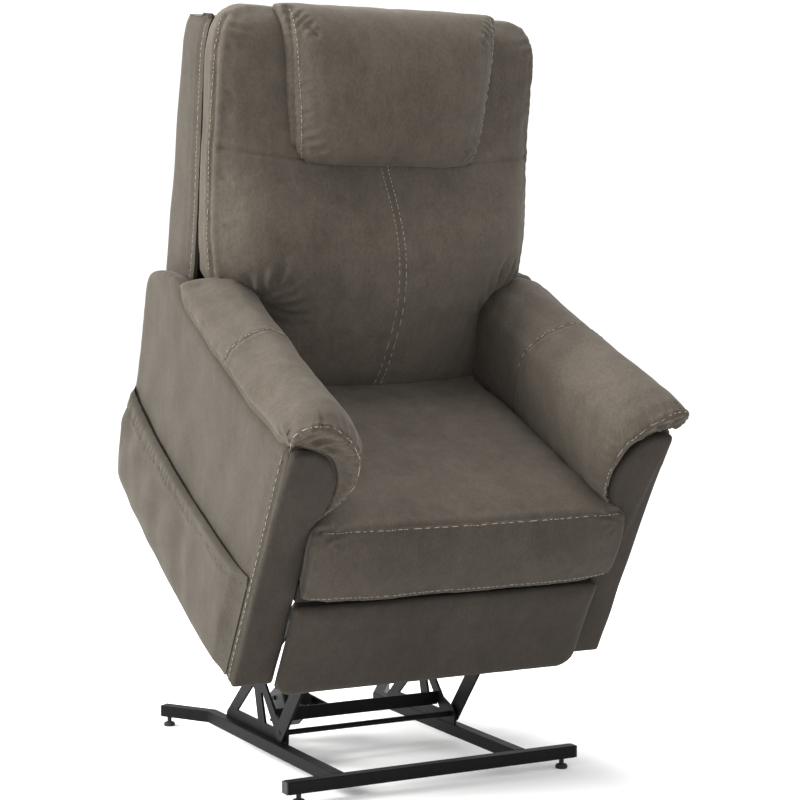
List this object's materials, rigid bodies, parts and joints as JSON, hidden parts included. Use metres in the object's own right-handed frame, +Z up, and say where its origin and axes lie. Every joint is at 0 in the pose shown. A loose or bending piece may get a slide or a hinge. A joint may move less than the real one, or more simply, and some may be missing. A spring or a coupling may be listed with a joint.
{
  "type": "lift recliner chair",
  "caption": "Upholstered lift recliner chair, raised and tilted forward on a steel base, with a reclining back, folding footrest, head pillow and side pocket.",
  "frame": {"origin": "on the floor under the middle of the bounding box, chair in its lifted pose", "axes": "+Z up, -Y the way the sitter faces, +X the sitter's left"},
  "size_m": [0.8646, 1.0407, 1.5689],
  "materials": {
    "upholstery": "matt taupe suede-like cloth with light stitching",
    "black_steel": "satin black powder coat",
    "zinc_steel": "zinc plated",
    "chrome_rod": "ground bright steel",
    "plywood": "bare plywood",
    "black_plastic": "fine texture",
    "button_grey": "smooth silicone-like",
    "webbing": "woven elastic webbing",
    "rubber": "moulded"
  },
  "bodies": {
    "base": {"front_cross_tube": "black_steel", "front_tube_cap_left": "black_plastic", "front_tube_cap_right": "black_plastic", "side_rail_left": "black_steel", "side_rail_right": "black_steel", "leveling_foot_front_left": "rubber", "leveling_foot_front_right": "rubber", "leveling_foot_rear_left": "rubber", "leveling_foot_rear_right": "rubber", "riser_bracket_left": "black_steel", "riser_bracket_right": "black_steel", "base_crossbar": "black_steel", "front_pivot_axle": "zinc_steel"},
    "front_lift_links": {"front_lift_link_left": "black_steel", "front_lift_link_right": "black_steel", "lift_torque_tube": "black_steel"},
    "rear_lift_links": {"rear_lift_link_left": "black_steel", "rear_lift_link_right": "black_steel"},
    "carriage": {"carriage_plate_left": "black_steel", "carriage_plate_right": "black_steel", "carriage_front_tube": "black_steel", "carriage_rear_tube": "black_steel", "seat_front_rail": "plywood", "seat_side_rail_left": "plywood", "seat_side_rail_right": "plywood", "seat_webbing": "webbing", "seat_cushion": "upholstery", "arm_frame_left": "upholstery", "arm_frame_right": "upholstery", "arm_pad_left": "upholstery", "arm_pad_right": "upholstery", "rear_apron": "upholstery", "power_supply": "black_plastic", "side_pocket": "upholstery", "handset": "black_plastic"},
    "backrest": {"back_frame": "plywood", "back_shell": "upholstery", "back_cushion": "upholstery", "head_pillow": "upholstery", "back_hinge_left": "black_steel", "back_hinge_right": "black_steel", "recline_lever": "black_steel"},
    "footrest_drive": {"footrest_drive_link_left": "black_steel", "footrest_drive_link_right": "black_steel", "footrest_drive_tube": "black_steel"},
    "footrest_reach": {"footrest_reach_link_left": "black_steel", "footrest_reach_link_right": "black_steel"},
    "footrest_board": {"footrest_board": "plywood", "footrest_pad": "upholstery", "footrest_bracket_left": "black_steel", "footrest_bracket_right": "black_steel", "footrest_board_rod": "zinc_steel"},
    "lift_motor_body": {"lift_motor_body": "black_plastic"},
    "lift_motor_rod": {"lift_motor_rod": "chrome_rod"},
    "recline_motor_body": {"recline_motor_body": "black_plastic"},
    "recline_motor_rod": {"recline_motor_rod": "chrome_rod"},
    "lift_up_button": {"lift_up_button": "button_grey"},
    "lift_down_button": {"lift_down_button": "button_grey"}
  },
  "joints": [
    {"name": "lift", "type": "hinge", "parent": "base", "child": "front_lift_links", "pos_m": [0.0123, 0.0548, 0.068], "axis": [1, 0, 0], "range_deg": [0, 47.67]},
    {"name": "rear_link_swing", "type": "hinge", "parent": "base", "child": "rear_lift_links", "pos_m": [0.0123, 0.1858, 0.169], "axis": [1, 0, 0], "range_deg": [0, 40.8]},
    {"name": "carriage_tilt", "type": "hinge", "parent": "front_lift_links", "child": "carriage", "pos_m": [0.0123, -0.13581, 0.30785], "axis": [1, 0, 0], "range_deg": [-76.1, 0]},
    {"name": "lift_motor_pivot", "type": "hinge", "parent": "base", "child": "lift_motor_body", "pos_m": [-0.0877, 0.2552, 0.0955], "axis": [1, 0, 0], "range_deg": [0, 21.2]},
    {"name": "lift_motor_stroke", "type": "slide", "parent": "lift_motor_body", "child": "lift_motor_rod", "axis": [0, -0.8176, 0.5757], "range_m": [0, 0.095]},
    {"name": "recline", "type": "hinge", "parent": "carriage", "child": "backrest", "pos_m": [0.0123, 0.20506, 0.7826], "axis": [-1, 0, 0], "range_deg": [0, 40]},
    {"name": "recline_motor_pivot", "type": "hinge", "parent": "carriage", "child": "recline_motor_body", "pos_m": [0.1123, -0.07703, 0.49441], "axis": [1, 0, 0], "range_deg": [0, 0.5]},
    {"name": "recline_motor_stroke", "type": "slide", "parent": "recline_motor_body", "child": "recline_motor_rod", "axis": [0, 0.8612, 0.5083], "range_m": [-0.0755, 0]},
    {"name": "footrest_drive_swing", "type": "hinge", "parent": "carriage", "child": "footrest_drive", "pos_m": [0.0123, -0.20132, 0.46157], "axis": [-1, 0, 0], "range_deg": [0, 93.1]},
    {"name": "footrest_reach_swing", "type": "hinge", "parent": "footrest_drive", "child": "footrest_reach", "pos_m": [0.0123, -0.06769, 0.33363], "axis": [-1, 0, 0], "range_deg": [-105.1, 0]},
    {"name": "footrest_board_swing", "type": "hinge", "parent": "footrest_reach", "child": "footrest_board", "pos_m": [0.0123, -0.23626, 0.37461], "axis": [-1, 0, 0], "range_deg": [0, 97.1]},
    {"name": "lift_up_press", "type": "slide", "parent": "carriage", "child": "lift_up_button", "axis": [1, 0, 0], "range_m": [0, 0.001], "stiffness_N_per_m": 300},
    {"name": "lift_down_press", "type": "slide", "parent": "carriage", "child": "lift_down_button", "axis": [1, 0, 0], "range_m": [0, 0.001], "stiffness_N_per_m": 300}
  ],
  "couplings": [
    {"joint": "rear_link_swing", "follows": "lift", "ratio": 0.8535},
    {"joint": "carriage_tilt", "follows": "lift", "ratio": -1.5937},
    {"joint": "lift_motor_pivot", "follows": "lift", "ratio": 0.44305},
    {"joint": "lift_motor_stroke", "follows": "lift", "m_per_rad": 0.11358},
    {"joint": "recline_motor_pivot", "follows": "recline", "ratio": 0.01227},
    {"joint": "recline_motor_stroke", "follows": "recline", "m_per_rad": -0.10769},
    {"joint": "footrest_drive_swing", "follows": "recline", "ratio": 2.325},
    {"joint": "footrest_reach_swing", "follows": "recline", "ratio": -2.625},
    {"joint": "footrest_board_swing", "follows": "recline", "ratio": 2.425}
  ]
}
